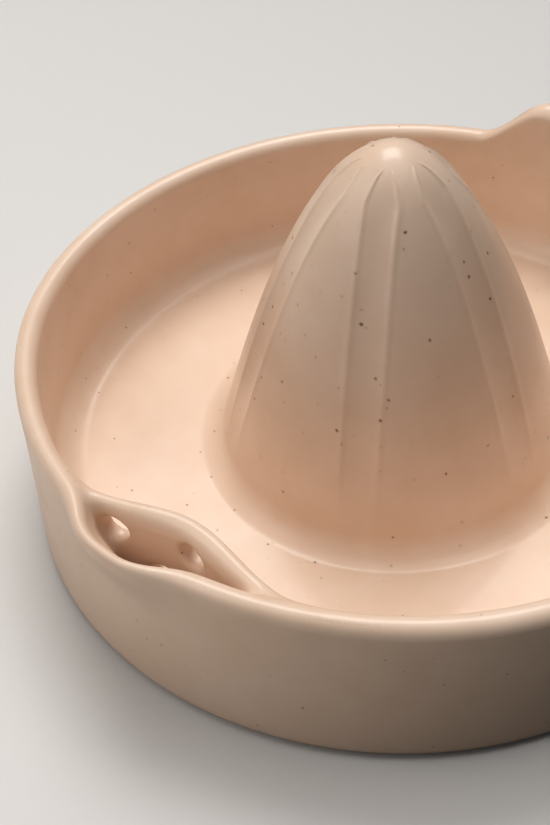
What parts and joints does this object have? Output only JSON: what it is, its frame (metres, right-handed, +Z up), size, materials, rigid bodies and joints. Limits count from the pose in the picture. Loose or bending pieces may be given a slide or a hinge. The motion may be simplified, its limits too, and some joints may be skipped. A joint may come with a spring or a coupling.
{
  "type": "citrus juicer",
  "caption": "Shallow round glazed stoneware dish with a fluted juicing cone, a pulled pouring lip, a pierced strainer wall behind it and a short lug handle",
  "frame": {"origin": "on the table, midway between the tip of the pouring lip and the end of the handle, under the dish's centre line; the dish's own axis is at x = -9.5 mm", "axes": "+Z up; +X from the pouring lip towards the handle; +Y to the left of someone who stands at the lip and looks towards the handle"},
  "size_m": [0.1618, 0.14, 0.0707],
  "materials": {
    "dish_glaze": "satin peach glaze with sparse small brown speckles",
    "cone_glaze": "satin peach glaze with sparse small brown speckles",
    "strainer_glaze": "satin peach glaze with sparse small brown speckles",
    "handle_glaze": "satin peach glaze with sparse small brown speckles",
    "bare_stoneware": "bare fired stoneware, matt and slightly grainy"
  },
  "bodies": {
    "root": {"dish": "dish_glaze", "juicing_cone": "cone_glaze", "strainer_wall": "strainer_glaze", "handle": "handle_glaze", "foot_ring": "bare_stoneware"}
  },
  "joints": []
}
